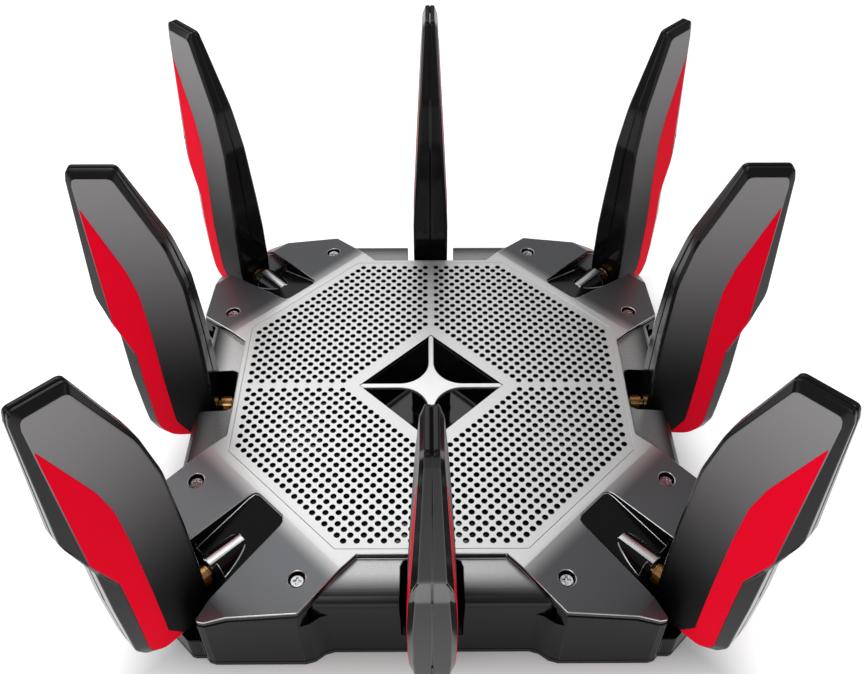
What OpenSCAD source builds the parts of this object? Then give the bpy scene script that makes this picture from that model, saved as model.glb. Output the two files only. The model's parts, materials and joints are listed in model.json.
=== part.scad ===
// Wireless router with a perforated top, four sloping wings and eight swivelling blade antennas.
// Millimetres. +Z is up, the front faces -Y, and the origin is on the table below the centre.

/* [Body] */
// Width across the wing walls, the same from front to back
body_w = 240; // [236:2:300]
// Height of the flat top above the table
body_h = 48.4; // [48:0.2:66]
// Thickness of the housing walls and of the channel and bay linings
wall = 2.4; // [1.8:0.1:2.6]
// Height of the rubber feet below the base plate
foot_h = 2; // [1:0.5:4]
// Thickness of the base plate
base_t = 2.4; // [1.6:0.2:3]
// How far the middle of each side stands in from the wing walls
side_in = 5.5; // [4:0.5:8]
// Seam left between fixed pieces
seam = 0.2; // [0.1:0.05:0.3]
// Gap left around pieces that move
play = 0.3; // [0.25:0.05:0.4]

/* [Top cover] */
// Thickness of the top cover
cover_t = 2.4; // [1.8:0.1:2.8]
// Depth of the lower side panels, from the wing wall to the raised cover
panel_d = 25; // [22:0.5:28]
// Width of a side panel at the raised cover
panel_in_w = 62; // [50:1:70]
// Width of a side panel at the wing walls
panel_out_w = 108; // [100:1:112]
// Drop from the cover to the side panels
panel_drop = 2.7; // [2.6:0.1:3.4]
// Radius that rolls a side panel into its wall
panel_r = 6; // [3:0.5:8]
// Length of a sloping wing along the diagonal
wing_run = 55.6; // [50:0.2:60]
// Fall of a wing for each millimetre outwards
wing_fall = 0.16; // [0.1:0.01:0.2]
// Length of the steeper end of a wing
tip_run = 11; // [6:0.5:14]
// Fall of the steeper end for each millimetre outwards
tip_fall = 0.6; // [0.3:0.05:0.8]

/* [Grille] */
// Diameter of a vent hole
vent_d = 2.4; // [1.6:0.1:3]
// Half the distance between vent holes in a row
vent_pitch = 2.85; // [2.6:0.05:3.4]
// Thickness of the perforated panel
grille_t = 1.6; // [1.2:0.1:1.7]
// Distance from the centre to a corner of the diamond window
window_r = 35; // [30:0.5:38]

/* [Star badge] */
// Half the width of a star arm
arm_hw = 1.3; // [1:0.1:2]
// Radius of the hollow curves between the arms
flute_r = 14.2; // [12:0.1:14.4]
// Depth of the glossy well below the badge
well_d = 16; // [10:0.5:18]

/* [Antennas] */
// Height of a blade above its connector
blade_rise = 140.5; // [120:0.5:180]
// How far a blade reaches below its connector
blade_drop = 14; // [12:0.5:14.5]
// Widest part of a blade
blade_w = 42.3; // [40:0.1:50]
// Width of the lower part of a blade
stem_w = 36; // [34:0.5:38]
// Thickness of the lower part of a blade
blade_t = 19; // [16:0.5:19.5]
// Thickness of a blade at its top
blade_tip_t = 7; // [7:0.5:10]
// Wall of a blade's two shells
shell_t = 2.2; // [1.6:0.1:2.5]
// Thickness of the coloured side panels
accent_t = 1; // [0.8:0.1:1.2]
// Height of the connectors' axis below the flat top
jack_drop = 13.9; // [13:0.1:14.5]
// Distance from a side blade's inner edge to the wing wall line
side_reach_in = 15.7; // [15:0.1:18]
// Distance from a corner blade's inner edge to the wing tips, along the diagonal
corner_reach_in = 14.1; // [12:0.1:16]
// Gap between a side bay's wall and its blade, which the collar nut fills
side_gap = 8.9; // [8:0.1:10]
// The same gap at a corner
corner_gap = 6.6; // [6.2:0.1:8]
// Radius of a connector's inner barrel
plug_r = 2.8; // [2.5:0.05:2.9]
// Running clearance between the barrel and the collar nut
plug_fit = 0.05; // [0.02:0.01:0.1]

/* [Bays and channels] */
// Half the width of a side bay
bay_hw = 13; // [12.8:0.1:14]
// Half the width of a corner channel at its inner end
channel_in_hw = 10.9; // [9:0.1:11.5]
// Half the width of a corner channel at the wing tips
channel_out_hw = 15.6; // [15.2:0.1:16.5]
// Radius of the round boss over a corner connector
boss_r = 7; // [6.9:0.1:7.4]

/* [Ports and buttons] */
// Width of a network socket
rj_w = 13.2; // [13:0.1:14]
// Height of a network socket
rj_h = 12.6; // [12:0.1:13.5]
// Depth of a network socket
rj_l = 15; // [13:0.5:16]
// Radius of the three side buttons
button_r = 3; // [2.5:0.1:3.5]
// Radius of the power button
power_r = 4.2; // [3.5:0.1:4.6]

/* [Hidden] */

big = 400;
fine = 48;
root2 = sqrt(2);

// Heights
base_top = foot_h + base_t;
wall_z0 = base_top + seam;
jack_z = body_h - jack_drop;
bay_z = jack_z - blade_drop - 3.3;
board_t = 1.6;
board_z = base_top + 6;
board_top = board_z + board_t;
panel_top = body_h - panel_drop;

// Plan
half = body_w / 2;
side_half = half - side_in;
cover_edge = half - panel_d;
tip_d = half * root2 - channel_out_hw;
bend_d = tip_d - wing_run;
bevel_d = tip_d - tip_run;
bevel_z = body_h - wing_fall * (bevel_d - bend_d);
corner_d = half * root2 - 14.4;
edge_lap = 0.4;

// Antenna places: the side ones and the corner ones
side_reach = half - side_reach_in;
corner_reach = tip_d - corner_reach_in;
side_face = side_reach - side_gap;
corner_face = corner_reach - corner_gap;
SIDES = [0, 90, 180, 270];
CORNERS = [45, 135, 225, 315];

// Grille
grille_half = cover_edge - 3;
grille_d = bend_d - 4.9;
vent_gap = 2.95;
vent_rows = floor((cover_edge - 6.4 - vent_gap) / vent_pitch);
vent_min = ceil((window_r + 10.4 - 2 * vent_gap) / vent_pitch);
vent_max = floor(((bend_d - 9.6) * root2 - 2 * vent_gap) / vent_pitch);

// Screws
screw_in = 15;
screw_off = half - 64.8;
SCREWS = [for (a = SIDES, s = [-1, 1]) [a, s]];
screw_d = (half - screw_in + screw_off) / root2;
screw_z = body_h - wing_fall * (screw_d - bend_d);
head_r = 2.7;
sink_r = 3.6;
cup_r = 5;
cup_h = 6.4;
shank_r = 1.4;
post_r = 4;
base_screw_off = 9;
seat_r = 3;
seat_t = 1.4;
foot_d = corner_d - 15;
foot_r = 8;
rib_t = 1.6;

// Vent slots in the base
slot_w = 2.4;
slot_l = 22;
slot_pitch = 5.6;

// Ports: places along the walls
lan_x = [22.4, 22.4 + rj_w + 0.3];
wing_port = half - 53;
dc_w = 9;
dc_h = 11;
dc_l = 13;
dc_r = 3.1;
usb_w = 14;
usb_h = 6.6;
usb_l = 14;
usb_c_w = 9;
usb_c_h = 3.3;
usb_c_l = 8;
button_z = board_top + 8;
button_pitch = 9.5;
button_y = 30;
power_x = wing_port + 9.5;
reset_x = -wing_port - 9.8;
reset_r = 0.9;
button_out = 0.7;
button_travel = 0.8;

// Antenna outlines
knee_z = 29.5;
waist_z = 54.5;
shoulder_z = waist_z + 23.5;
collar_r = 4.3;
thread_r = 3.15;

BLADE = [
    [0, -4.5], [9, 1 - blade_drop], [24, -blade_drop], [30.8, 3 - blade_drop], [stem_w - 1.2, -4],
    [stem_w, knee_z], [stem_w, waist_z], [blade_w, shoulder_z], [blade_w - 2.7, blade_rise - 5],
    [blade_w - 3.9, blade_rise], [blade_w - 23.2, blade_rise], [5, blade_rise - 37],
    [1, shoulder_z + 4], [0, knee_z + 20]
];
ACCENT = [
    [15, 2.4 - blade_drop], [24, 1.3 - blade_drop], [stem_w - 6, -6.5], [stem_w - 5.6, waist_z - 10],
    [blade_w - 5.5, shoulder_z - 15], [blade_w - 5.5, blade_rise - 16.5], [25, blade_rise - 47.5],
    [22, shoulder_z + 2], [21, shoulder_z - 18], [20.6, -1.5]
];

// Unit normal to the left of the edge from p to q
function left_of(p, q) = let (d = q - p) [-d.y, d.x] / norm(d);

// An anticlockwise outline moved inwards by e, or outwards where e is negative
function inset(pts, e) = [
    for (i = [0:len(pts) - 1])
        let (
            p = pts[i],
            n1 = left_of(pts[(i + len(pts) - 1) % len(pts)], p),
            n2 = left_of(p, pts[(i + 1) % len(pts)])
        )
        p + e * (n1 + n2) / (1 + n1 * n2)
];

// The quarter of the body's outline around one corner, anticlockwise
function corner_outline() = let (
    nib = half - 3,
    cut = corner_d * root2 - nib,
    up = [
        [side_half, panel_out_w / 2 - 12], [side_half + 1.2, panel_out_w / 2 - 8],
        [half - 1.2, panel_out_w / 2 - 4], [half, panel_out_w / 2],
        [half, half - 27.5], [half - 0.9, half - 24.6], [nib, half - 22.8], [nib, cut - 1],
        [nib - 0.6, cut + 0.6]
    ]
)
concat(up, [for (i = [len(up) - 1:-1:0]) [up[i].y, up[i].x]]);

function turned(p, a) = [p.x * cos(a) - p.y * sin(a), p.x * sin(a) + p.y * cos(a)];

// The whole outline of the body
OUTLINE = [for (a = SIDES, p = corner_outline()) turned(p, a)];

// An octagon with flats at h and diagonal flats at d
function octagon(h, d) = let (c = d * root2 - h)
    [[h, -c], [h, c], [c, h], [-c, h], [-h, c], [-h, -c], [-c, -h], [c, -h]];

// Plan of one side panel, facing +X
PANEL = let (run = panel_d + 6, grow = (panel_out_w - panel_in_w) / 2 / panel_d) [
    [cover_edge, -panel_in_w / 2], [cover_edge + run, -panel_in_w / 2 - grow * run],
    [cover_edge + run, panel_in_w / 2 + grow * run], [cover_edge, panel_in_w / 2]
];

module on_sides() {
    for (a = SIDES) rotate(a) children();
}

module on_corners() {
    for (a = CORNERS) rotate(a) children();
}

// Children at each connector, +X outwards along its axis, x = 0 at the blade and $gap from there to the wall
module on_jacks() {
    on_sides() translate([side_reach, 0, jack_z]) let ($gap = side_gap) children();
    on_corners() translate([corner_reach, 0, jack_z]) let ($gap = corner_gap) children();
}

// An outline in X and Z, extruded along Y about the middle
module upright(pts, t) {
    rotate([90, 0, 0]) linear_extrude(t, center = true) polygon(pts);
}

// A tube or rod along +X from x0 to x1
module rod(r, x0, x1, sides = fine) {
    translate([x0, 0, 0]) rotate([0, 90, 0]) cylinder(h = x1 - x0, r = r, $fn = sides);
}

// Everything under the cover's top surface, lowered by drop
module roof(drop) {
    intersection_for (a = CORNERS)
        rotate(a) upright([
            [-big, 0], [big / 2, 0], [big / 2, bevel_z - tip_fall * (big / 2 - bevel_d) - drop],
            [bevel_d, bevel_z - drop], [bend_d, body_h - drop], [-big, body_h - drop]
        ], big);
}

module outline_prism(e, z0, z1) {
    translate([0, 0, z0]) linear_extrude(z1 - z0) polygon(inset(OUTLINE, e));
}

// The space over one corner channel and its slot, grown by e, with the boss left standing
module channel_room(e) {
    z0 = body_h - 1.1;
    flare = (channel_out_hw - channel_in_hw) / (tip_d - bend_d);
    out = big / 2;
    plan = [
        [bend_d, 3 - channel_in_hw], [bend_d + 1.2, 0.8 - channel_in_hw], [bend_d + 4, -channel_in_hw],
        [out, -channel_in_hw - flare * (out - bend_d)], [out, channel_in_hw + flare * (out - bend_d)],
        [bend_d + 4, channel_in_hw], [bend_d + 1.2, channel_in_hw - 0.8], [bend_d, channel_in_hw - 3]
    ];
    side = [
        [bend_d, z0], [corner_face, jack_z - 0.5], [corner_face, bay_z], [out, bay_z],
        [out, big], [bend_d, big]
    ];
    difference() {
        intersection() {
            linear_extrude(big / 2) polygon(inset(plan, -e));
            upright(inset(side, -e), big / 4);
        }
        translate([0, 0, jack_z]) rod(boss_r - e, bend_d + 16.6 + e, corner_face - e);
    }
}

// The space in one side bay, grown by e
module bay_room(e) {
    c = 3.5;
    plan = [
        [side_face, c - bay_hw], [side_face + 0.3 * c, 0.3 * c - bay_hw], [side_face + c, -bay_hw],
        [half + 20, -bay_hw], [half + 20, bay_hw], [side_face + c, bay_hw],
        [side_face + 0.3 * c, bay_hw - 0.3 * c], [side_face, bay_hw - c]
    ];
    translate([0, 0, bay_z - e]) linear_extrude(big / 4) polygon(inset(plan, -e));
}

// Everything under one side panel's surface, facing +X
module panel_block(e) {
    edge = panel_top - 0.09 * (side_half - panel_r - cover_edge);
    arc = [for (a = [0:15:90]) [side_half - panel_r, edge - panel_r] + (panel_r - e) * [cos(a), sin(a)]];
    intersection() {
        linear_extrude(big / 4) polygon(PANEL);
        upright(concat([[cover_edge - 4, 0], [side_half - e, 0]], arc, [[cover_edge - 4, panel_top - e]]), big);
    }
}

// The housing's solid form, shrunk by e
module housing_block(e) {
    difference() {
        intersection() {
            outline_prism(e, wall_z0 - (e > 0 ? 5 : 0), big / 4);
            roof(cover_t + seam + e);
        }
        on_sides() linear_extrude(big / 4) polygon(PANEL);
    }
    intersection() {
        outline_prism(e, wall_z0 - (e > 0 ? 5 : 0), big / 4);
        on_sides() panel_block(e);
    }
}

// A half-space on the outer or inner side of the line where the cover's channel ends
module beyond(d) {
    translate([d, -big / 2, 0]) cube([big, big, big / 4]);
}

// Children at each cover screw's axis
module at_cover_screws() {
    for (s = SCREWS) rotate(s[0]) translate([half - screw_in, s[1] * screw_off, 0]) children();
}

module at_base_screws() {
    on_corners() translate([corner_face - 12, base_screw_off, 0]) children();
}

// A plain box socket facing +Y, with its face at y and its floor on the board
module socket_block(x, y, w, l, h, e = 0) {
    translate([x - w / 2 - e, y - l - e, board_top - e]) cube([w + 2 * e, l + 2 * e, h + 2 * e]);
}

// Where the wall openings go
module port_openings() {
    for (s = [-1, 1], x = lan_x) socket_block(s * x, side_half + 3, rj_w, 10, rj_h, seam);
    socket_block(-wing_port, half + 3, rj_w, 10, rj_h, seam);
    socket_block(wing_port - 2, half + 3, dc_w, 10, dc_h, seam);
    rotate(-90) {
        socket_block(-25, side_half + 3, usb_w, 10, usb_h, seam);
        socket_block(-38, side_half + 3, usb_c_w, 10, usb_c_h, seam);
    }
    translate([power_x, half - 10, button_z]) rotate(90) rod(power_r + play, 0, 20);
    for (i = [-1:1]) rotate(180)
        translate([side_half - 10, i * button_pitch - button_y, button_z]) rod(button_r + play, 0, 20);
    translate([reset_x, half - 10, button_z]) rotate(90) rod(reset_r + play, 0, 20, 24);
}

// The foot slots and screw seats are cut from below, the vent slots right through
module base_plate() {
    color("#141416") difference() {
        outline_prism(0, foot_h, base_top);
        on_sides() {
            vent_slots(30, 3);
            vent_slots(60, 7);
        }
        on_corners() translate([foot_d, 0, foot_h - 1]) cylinder(h = 2, r = foot_r + seam, $fn = fine);
        at_base_screws() {
            cylinder(h = big / 4, r = shank_r + 0.25, $fn = fine);
            cylinder(h = foot_h + seat_t, r = seat_r, $fn = fine);
        }
    }
}

// A row of vent slots on either side of +X, starting x outwards
module vent_slots(x, n) {
    for (i = [-n:n]) translate([x, i * slot_pitch - slot_w / 2, 0]) cube([slot_l, slot_w, big / 4]);
}

module main_housing() {
    color("#0d0d0f") difference() {
        union() {
            difference() {
                housing_block(0);
                housing_block(wall);
                translate([0, 0, body_h - 12]) linear_extrude(20)
                    polygon(octagon(cover_edge - 5, bend_d - 3));
            }
            intersection() {
                housing_block(0);
                union() {
                    on_sides() bay_room(wall);
                    on_corners() intersection() {
                        channel_room(wall);
                        beyond(corner_face - wall);
                    }
                }
            }
            at_cover_screws() translate([0, 0, board_top + 3]) {
                h = screw_z - cup_h - seam - board_top - 3;
                cylinder(h = h, r = post_r, $fn = fine);
                translate([0, -rib_t / 2, 0]) cube([screw_in - 1, rib_t, h]);
            }
            at_base_screws() {
                translate([0, 0, wall_z0]) cylinder(h = bay_z - wall_z0, r = post_r, $fn = fine);
                translate([0, -rib_t / 2, board_top + 1])
                    cube([11, rib_t, bay_z - board_top - 1]);
            }
        }
        on_sides() bay_room(0);
        on_corners() channel_room(0);
        on_corners() difference() {
            channel_room(wall + seam);
            beyond(corner_face - wall - seam);
        }
        at_cover_screws() {
            translate([0, 0, screw_z - cup_h - seam]) cylinder(h = 20, r = cup_r + seam, $fn = fine);
            translate([0, 0, screw_z - cup_h - 12]) cylinder(h = 20, r = shank_r + 0.05, $fn = fine);
        }
        at_base_screws() cylinder(h = wall_z0 + 7, r = shank_r + 0.05, $fn = fine);
        on_jacks() {
            rod(thread_r + seam, -$gap - wall - 3, 0);
            rod(boss_r - wall + seam / 2, -$gap - wall - 9, -$gap - wall);
        }
        port_openings();
    }
}

module top_cover() {
    color("#5b5e62") difference() {
        union() {
            difference() {
                intersection() {
                    outline_prism(edge_lap, 10, big / 4);
                    roof(0);
                }
                roof(cover_t);
                on_sides() linear_extrude(big / 4) polygon(inset(PANEL, -seam));
            }
            intersection() {
                outline_prism(edge_lap, 10, big / 4);
                roof(0);
                on_corners() difference() {
                    channel_room(wall);
                    beyond(corner_face - wall - seam);
                }
            }
            at_cover_screws() translate([0, 0, screw_z - cup_h])
                cylinder(h = cup_h - 1, r = cup_r, $fn = fine);
        }
        on_corners() channel_room(0);
        linear_extrude(big / 4) polygon(octagon(grille_half + seam - 1.8, grille_d + seam - 1.8));
        translate([0, 0, body_h - grille_t - seam]) linear_extrude(20)
            polygon(octagon(grille_half + seam, grille_d + seam));
        at_cover_screws() {
            translate([0, 0, screw_z - 4.4]) cylinder(h = 20, r = sink_r, $fn = fine);
            cylinder(h = big / 4, r = shank_r + 0.3, $fn = fine);
        }
    }
}

// The vent holes of one quarter, staggered, between the diamond and the diagonal edge
module vent_quarter() {
    for (i = [0:vent_rows], j = [0:vent_rows])
        if ((i + j) % 2 == 0 && i + j >= vent_min && i + j <= vent_max)
            translate([vent_gap + vent_pitch * i, vent_gap + vent_pitch * j]) circle(d = vent_d, $fn = 24);
}

module grille_panel() {
    color("#c9cbcd") translate([0, 0, body_h - grille_t]) linear_extrude(grille_t) difference() {
        polygon(octagon(grille_half, grille_d));
        circle(r = window_r, $fn = 4);
        for (a = SIDES) rotate(a) vent_quarter();
    }
}

// A blunt four-point star, its hollow curves struck from the corners of a square
module star_core(reach) {
    centre = flute_r + arm_hw;
    difference() {
        intersection() {
            square(2 * centre, center = true);
            circle(r = reach, $fn = fine);
        }
        for (x = [-centre, centre], y = [-centre, centre]) translate([x, y]) circle(r = flute_r, $fn = fine);
    }
}

module star_badge() {
    color("#d6d8da") translate([0, 0, body_h - 1.8]) {
        linear_extrude(1.6) {
            star_core(big);
            intersection() {
                circle(r = window_r - seam, $fn = 4);
                for (a = [0, 90]) rotate(a) square([2 * window_r, 2 * arm_hw], center = true);
            }
        }
    }
}

// A four-sided funnel, its flats at top_hw and bottom_hw
module funnel(top_hw, bottom_hw, z0, z1) {
    outline = [[-bottom_hw, z0], [bottom_hw, z0], [top_hw, z1], [-top_hw, z1]];
    rotate(45) intersection() {
        upright(outline, big);
        rotate(90) upright(outline, big);
    }
}

module badge_well() {
    top = body_h - 2;
    flat = (window_r - seam) / root2;
    color("#08080a") {
        difference() {
            funnel(flat + 1.4, flat - 6, top - well_d, top);
            funnel(flat, flat - 7.4, top - well_d + 1.6, top + 0.01);
        }
        translate([0, 0, top - well_d + 1]) linear_extrude(well_d - 1 + seam / 2) star_core(9.5);
    }
}

module light_board() {
    z = body_h - 2 - well_d - 2.6;
    color("#1d5b3a") {
        translate([0, 0, z]) linear_extrude(1.2) difference() {
            circle(r = 15, $fn = fine);
            for (a = SIDES) rotate(a) translate([12.4, 0]) circle(r = 1.1, $fn = 24);
        }
        on_corners() translate([8 - 1.6, -1.6, z + 1.1]) cube([3.2, 3.2, 1.1]);
    }
}

module rubber_feet() {
    color("#1a1a1a") on_corners() translate([foot_d, 0, 0]) cylinder(h = foot_h + 0.9, r = foot_r, $fn = fine);
}

module screw(head, head_h, shank, l) {
    difference() {
        cylinder(h = head_h, r = head, $fn = fine);
        translate([0, 0, head_h - 0.6]) for (a = [0, 90]) rotate(a) translate([-head * 0.62, -0.45, 0])
            cube([head * 1.24, 0.9, 2]);
    }
    translate([0, 0, -l]) cylinder(h = l + 0.01, r = shank, $fn = fine);
}

module cover_screws() {
    color("#b9bcc0") at_cover_screws() translate([0, 0, screw_z - 4.4 + seam])
        screw(head_r, 2.6, shank_r, 9);
}

module base_screws() {
    color("#55585c") at_base_screws() translate([0, 0, foot_h + seat_t - seam]) rotate([180, 0, 0])
        screw(head_r - 0.1, seat_t - 2 * seam, shank_r, 8);
}

module main_board() {
    color("#174a30") difference() {
        translate([0, 0, board_z]) linear_extrude(board_t)
            polygon(octagon(side_half - wall - 2, corner_d - wall - 4));
        at_cover_screws() cylinder(h = big / 4, r = post_r + 0.5, $fn = fine);
        at_base_screws() cylinder(h = big / 4, r = post_r + 0.5, $fn = fine);
    }
}

module heat_sink() {
    fins = 15;
    pitch = 6;
    color("#9a9da1") translate([0, 0, board_top + 4]) {
        translate([-46, -46, 0]) cube([92, 92, 2.4]);
        for (i = [0:fins - 1]) translate([-42 - 0.6 + i * pitch, -46, 2.3]) cube([1.2, 92, 7]);
    }
}

module shield_cans() {
    color("#a9acb0") {
        on_corners() translate([24, -15, board_top]) cube([20, 30, 3.4]);
        on_sides() translate([56, -17, board_top]) cube([22, 34, 4]);
    }
}

// A modular network socket facing +Y, with its mouth and latch notch
module network_socket(x, y) {
    difference() {
        socket_block(x, y, rj_w, rj_l, rj_h);
        translate([x - 5.9, y - rj_l + 2, board_top + 3.4]) cube([11.8, rj_l, 7.6]);
        translate([x - 3.1, y - rj_l + 2, board_top + 1.4]) cube([6.2, rj_l, 4]);
    }
}

module lan_sockets() {
    color("#2a2b2e") for (s = [-1, 1], x = lan_x) network_socket(s * x, side_half - 0.4);
}

module wan_socket() {
    color("#1f3f7a") network_socket(-wing_port, half - 0.4);
}

module usb_a_socket() {
    y = side_half - 0.4;
    color("#b5b8bc") rotate(-90) {
        difference() {
            socket_block(-25, y, usb_w, usb_l, usb_h);
            translate([-25 - 6.3, y - usb_l + 1.5, board_top + 0.7]) cube([12.6, usb_l, 5.2]);
        }
        translate([-25 - 5.6, y - usb_l + 1, board_top + 3.4]) cube([11.2, usb_l - 2, 1.9]);
    }
}

module usb_c_socket() {
    y = side_half - 0.4;
    color("#b5b8bc") rotate(-90) {
        difference() {
            socket_block(-38, y, usb_c_w, usb_c_l, usb_c_h);
            translate([-38 - 4, y - usb_c_l + 1, board_top + 0.5]) cube([8, usb_c_l, 2.3]);
        }
        translate([-38 - 3.3, y - usb_c_l + 0.5, board_top + 1.3]) cube([6.6, usb_c_l - 1.5, 0.7]);
    }
}

module dc_jack() {
    x = wing_port - 2;
    y = half - 0.4;
    color("#1c1c1e") {
        difference() {
            socket_block(x, y, dc_w, dc_l, dc_h);
            translate([x, y - dc_l + 2, board_top + dc_h / 2]) rotate(90) rod(dc_r, 0, dc_l);
        }
        translate([x, y - dc_l + 1, board_top + dc_h / 2]) rotate(90) rod(1, 0, dc_l - 3, 24);
    }
}

// A push button along +X: its cap stands out of the wall at x = 0, its flange sits behind it
module push_button(r) {
    rod(r, -wall - 1.8, button_out);
    rod(r + 1, -wall - play - 1.3, -wall - play);
}

module power_button() {
    color("#202124") translate([power_x, half, button_z]) rotate(90) push_button(power_r);
}

// One of the three side buttons, counted along the left wall
module side_button(i) {
    color("#202124") rotate(180)
        translate([side_half, i * button_pitch - button_y, button_z]) push_button(button_r);
}

module wps_button() {
    side_button(-1);
}

module wifi_button() {
    side_button(0);
}

module led_button() {
    side_button(1);
}

module reset_button() {
    color("#101012") translate([reset_x, half, button_z]) rotate(90) {
        rod(reset_r, -wall - 1.8, -1, 24);
        rod(2.2, -wall - play - 1.3, -wall - play, 24);
    }
}

// The switch behind one button, standing on the board, along +X with the wall's face at x = 0
module button_switch(travel) {
    back = -wall - 1.8 - travel - play;
    h = button_z - board_top;
    translate([back - 4, -2.5, -h]) cube([4, 5, h + 3]);
}

module button_switches() {
    color("#26272a") {
        translate([power_x, half, button_z]) rotate(90) button_switch(2);
        for (i = [-1:1]) rotate(180)
            translate([side_half, i * button_pitch - button_y, button_z]) button_switch(button_travel);
        translate([reset_x, half, button_z]) rotate(90) button_switch(0.5);
    }
}

module antenna_jacks() {
    color("#c9a24a") on_jacks() difference() {
        union() {
            rod(thread_r, -$gap - wall - 4, -3.6);
            rod(4.1, -$gap - wall - 1.2, -$gap - wall - seam);
        }
        rod(1.6, -6, 0, 24);
    }
}

module jack_hex_nuts() {
    color("#c9a24a") on_jacks() difference() {
        rod(4.3, -$gap - wall - 3.4, -$gap - wall - 1.3, 6);
        rod(thread_r + 0.05, -$gap - wall - 5, 0);
    }
}

module collar_nuts() {
    color("#d0a648") on_jacks() difference() {
        rod(collar_r, 0.5 - $gap, -0.6);
        rod(plug_r + plug_fit, -4, 0);
        rod(thread_r + 0.05, -$gap, -3.4);
    }
}

// The lead from one connector: inwards, round a bend and down to the board
module lead() {
    r = 0.7;
    bend = 3;
    x0 = -$gap - wall - 4.2;
    drop = jack_z - board_top - bend - seam;
    rod(r, x0 - 3, x0, 24);
    translate([x0 - 3, 0, -bend]) rotate([90, 0, 0]) rotate_extrude(angle = 90, $fn = fine, start = 90)
        translate([bend, 0]) circle(r = r, $fn = 24);
    translate([x0 - 3 - bend, 0, -bend - drop]) cylinder(h = drop, r = r, $fn = 24);
    translate([x0 - 3 - bend, 0, -bend - drop]) cylinder(h = 1.8, r = 1.5, $fn = 24);
}

module coax_leads() {
    color("#303033") on_jacks() lead();
}

// A blade's cross-section in Y and Z, thinned by e, extruded along its width
module blade_wedge(e) {
    b = blade_t / 2 - e;
    t = blade_tip_t / 2 - e;
    foot = b - 1;
    translate([-10, 0, 0]) rotate([90, 0, 90]) linear_extrude(blade_w + 20) polygon([
        [-foot, -blade_drop - 1], [foot, -blade_drop - 1], [b, 6], [b, knee_z],
        [t, blade_rise + 1], [-t, blade_rise + 1], [-b, knee_z], [-b, 6]
    ]);
}

module antenna_shells() {
    color("#17171a") difference() {
        intersection() {
            upright(BLADE, blade_t + 10);
            blade_wedge(0);
        }
        intersection() {
            upright(inset(BLADE, shell_t), blade_t + 10);
            blade_wedge(shell_t);
        }
        difference() {
            upright(ACCENT, blade_t + 10);
            blade_wedge(accent_t + 0.1);
        }
        rod(plug_r + 0.1, -2, shell_t + 2);
        translate([-5, -seam / 2, -blade_drop - 5]) cube([blade_w + 20, seam, blade_rise + blade_drop + 10]);
    }
}

module antenna_accents() {
    color("#d8101c") difference() {
        intersection() {
            upright(ACCENT, blade_t + 10);
            blade_wedge(0);
        }
        blade_wedge(accent_t);
    }
}

module antenna_board() {
    color("#1c5a3a") {
        upright(inset([
            [6, -6], [stem_w - 4, -6], [stem_w - 3, waist_z + 4], [blade_w - 6, shoulder_z + 3],
            [blade_w - 8, blade_rise - 12], [blade_w - 18, blade_rise - 12], [8, shoulder_z + 12]
        ], 1), 1);
    }
    color("#b8863b") for (z = [10, 40, 70]) translate([12, -0.8, z]) cube([12, 1.6, 18]);
}

module antenna_plug() {
    color("#c9a24a") {
        rod(plug_r, -3.3, 5);
        rod(3.9, shell_t + seam, shell_t + 1.8);
    }
}

// One antenna's pieces at its place: a is its direction, reach its inner edge's distance
module aimed(a, reach) {
    rotate(a) translate([reach, 0, jack_z]) children();
}

base_plate();
main_housing();
top_cover();
grille_panel();
star_badge();
badge_well();
light_board();
rubber_feet();
cover_screws();
base_screws();
main_board();
heat_sink();
shield_cans();
lan_sockets();
wan_socket();
usb_a_socket();
usb_c_socket();
dc_jack();
power_button();
wps_button();
wifi_button();
led_button();
reset_button();
button_switches();
antenna_jacks();
jack_hex_nuts();
collar_nuts();
coax_leads();
aimed(270, side_reach) antenna_shells();  // front_antenna_shells
aimed(270, side_reach) antenna_accents();  // front_antenna_accents
aimed(270, side_reach) antenna_board();  // front_antenna_board
aimed(270, side_reach) antenna_plug();  // front_antenna_plug
aimed(315, corner_reach) antenna_shells();  // front_right_antenna_shells
aimed(315, corner_reach) antenna_accents();  // front_right_antenna_accents
aimed(315, corner_reach) antenna_board();  // front_right_antenna_board
aimed(315, corner_reach) antenna_plug();  // front_right_antenna_plug
aimed(0, side_reach) antenna_shells();  // right_antenna_shells
aimed(0, side_reach) antenna_accents();  // right_antenna_accents
aimed(0, side_reach) antenna_board();  // right_antenna_board
aimed(0, side_reach) antenna_plug();  // right_antenna_plug
aimed(45, corner_reach) antenna_shells();  // back_right_antenna_shells
aimed(45, corner_reach) antenna_accents();  // back_right_antenna_accents
aimed(45, corner_reach) antenna_board();  // back_right_antenna_board
aimed(45, corner_reach) antenna_plug();  // back_right_antenna_plug
aimed(90, side_reach) antenna_shells();  // back_antenna_shells
aimed(90, side_reach) antenna_accents();  // back_antenna_accents
aimed(90, side_reach) antenna_board();  // back_antenna_board
aimed(90, side_reach) antenna_plug();  // back_antenna_plug
aimed(135, corner_reach) antenna_shells();  // back_left_antenna_shells
aimed(135, corner_reach) antenna_accents();  // back_left_antenna_accents
aimed(135, corner_reach) antenna_board();  // back_left_antenna_board
aimed(135, corner_reach) antenna_plug();  // back_left_antenna_plug
aimed(180, side_reach) antenna_shells();  // left_antenna_shells
aimed(180, side_reach) antenna_accents();  // left_antenna_accents
aimed(180, side_reach) antenna_board();  // left_antenna_board
aimed(180, side_reach) antenna_plug();  // left_antenna_plug
aimed(225, corner_reach) antenna_shells();  // front_left_antenna_shells
aimed(225, corner_reach) antenna_accents();  // front_left_antenna_accents
aimed(225, corner_reach) antenna_board();  // front_left_antenna_board
aimed(225, corner_reach) antenna_plug();  // front_left_antenna_plug
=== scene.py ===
"""Looks of the wireless router: skins, finishes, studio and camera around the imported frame."""

import json
import logging
import math
from dataclasses import dataclass, field
from enum import Enum
from itertools import product
from typing import Callable, Sequence

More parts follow.
